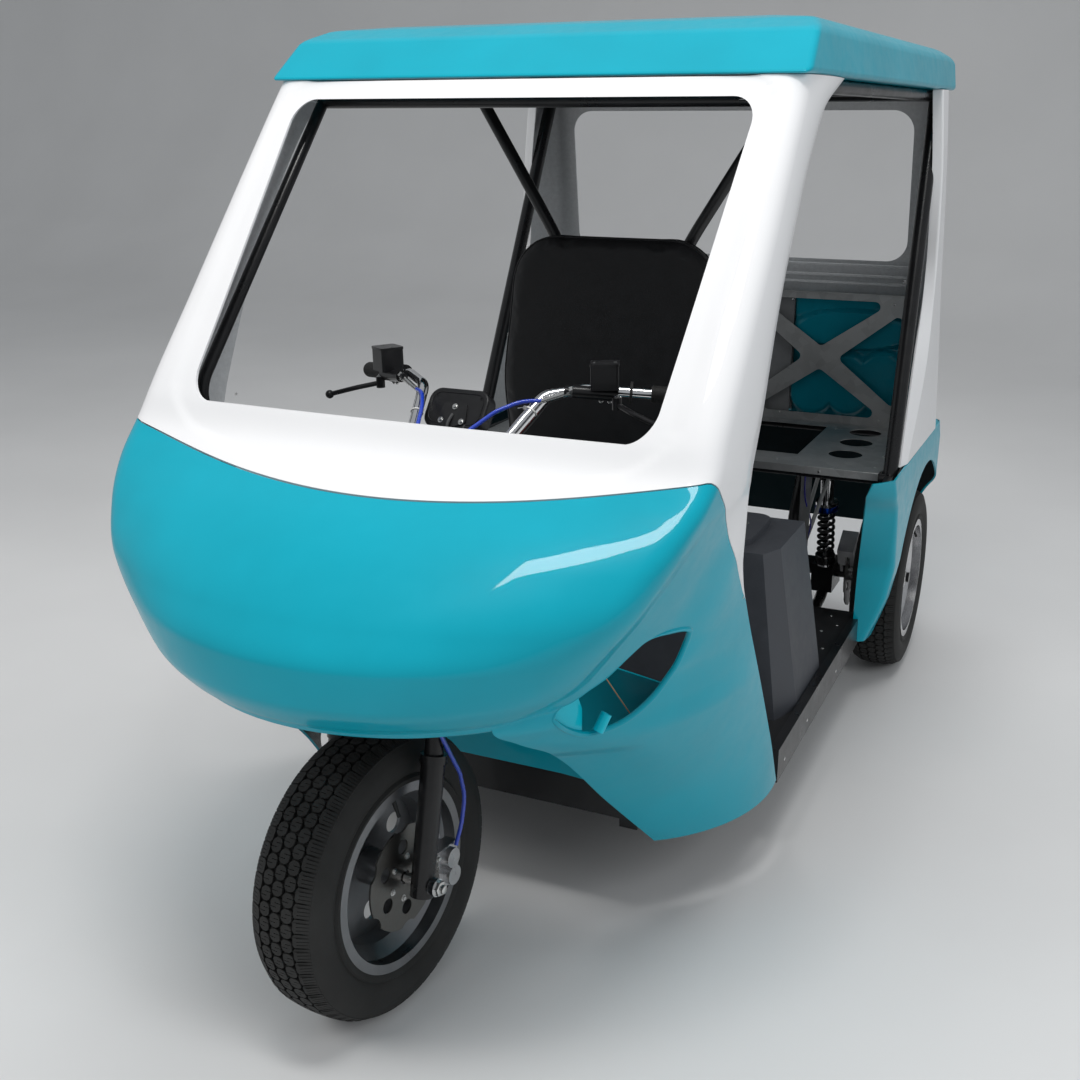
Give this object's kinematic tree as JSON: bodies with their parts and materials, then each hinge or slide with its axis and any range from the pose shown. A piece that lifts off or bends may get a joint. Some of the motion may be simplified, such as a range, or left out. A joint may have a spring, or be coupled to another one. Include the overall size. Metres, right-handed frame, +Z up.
{
  "type": "electric auto rickshaw",
  "caption": "Three-wheeled electric rickshaw with open sides, moulded nose, roof and rear shells on a tube frame, handlebar steering and driver's box seat.",
  "frame": {"origin": "on the ground at the middle of the vehicle's length and width", "axes": "+X to the vehicle's left, -Y is its front, +Z up"},
  "size_m": [1.304, 2.6858, 1.7879],
  "materials": {
    "black_fork": "gloss black",
    "black_frame": "gloss black powder coat",
    "blue_hose": "braided hose in clear blue",
    "box_plastic": "moulded, fine grain",
    "caliper_alloy": "cast, silver lacquer",
    "cast_alloy": "cast, satin",
    "chrome": "polished",
    "control_black": "black lacquer on castings, bare lever",
    "disc_steel": "ground steel",
    "display_plastic": "black moulded",
    "floor_sheet": "satin black",
    "galvanised": "galvanised sheet",
    "grip_rubber": "ribbed",
    "rim_grey": "silver grey",
    "spring_black": "gloss black",
    "teal_paint": "gloss turquoise paint on moulded glass fibre",
    "tyre": "new rubber",
    "vinyl": "black vinyl",
    "white_paint": "gloss white paint on moulded glass fibre"
  },
  "bodies": {
    "root": {"windscreen_frame": "white_paint", "nose_shell": "teal_paint", "arch_wall": "teal_paint", "floor_pan": "floor_sheet", "sills": "black_frame", "keels": "black_frame", "cross_members": "black_frame", "rear_rails": "black_frame", "roof_cap": "teal_paint", "rear_upper_shell": "white_paint", "rear_lower_shell": "teal_paint", "steering_head": "black_frame", "front_hoop": "black_frame", "roof_rails": "black_frame", "rear_frame": "black_frame", "rear_deck": "galvanised", "backrest_panel": "galvanised", "driver_box": "box_plastic", "seat_cushion": "vinyl", "seat_back": "vinyl", "seat_brace": "black_frame", "rear_axle": "black_frame", "drive_unit": "cast_alloy", "swing_arms": "black_frame", "shocks": "chrome", "springs": "spring_black", "shock_braces": "galvanised", "rear_calipers": "caliper_alloy"},
    "steering": {"fork_legs": "black_fork", "fork_yokes": "cast_alloy", "bar_clamps": "cast_alloy", "front_axle": "chrome", "handlebar": "chrome", "grips": "grip_rubber", "front_caliper": "caliper_alloy", "brake_controls": "control_black", "display": "display_plastic", "brake_hoses": "blue_hose"},
    "front_wheel": {"front_tyre": "tyre", "front_rim": "rim_grey", "front_disc": "disc_steel"},
    "rear_wheel_left": {"rear_tyre_left": "tyre", "rear_rim_left": "rim_grey", "rear_disc_left": "disc_steel"},
    "rear_wheel_right": {"rear_tyre_right": "tyre", "rear_rim_right": "rim_grey", "rear_disc_right": "disc_steel"}
  },
  "joints": [
    {"name": "steer", "type": "hinge", "parent": "root", "child": "steering", "pos_m": [0, -1.01921, 0.2715], "axis": [0, 0.225, 0.9744], "range_deg": [-22.8, 37.2]},
    {"name": "front_roll", "type": "hinge", "parent": "steering", "child": "front_wheel", "pos_m": [-0.00376, -1.04977, 0.27145], "axis": [0.9921, -0.1221, 0.0282], "continuous": true},
    {"name": "rear_left_roll", "type": "hinge", "parent": "root", "child": "rear_wheel_left", "pos_m": [0.571, 0.995, 0.2715], "axis": [1, 0, 0], "continuous": true},
    {"name": "rear_right_roll", "type": "hinge", "parent": "root", "child": "rear_wheel_right", "pos_m": [-0.571, 0.995, 0.2715], "axis": [1, 0, 0], "continuous": true}
  ]
}
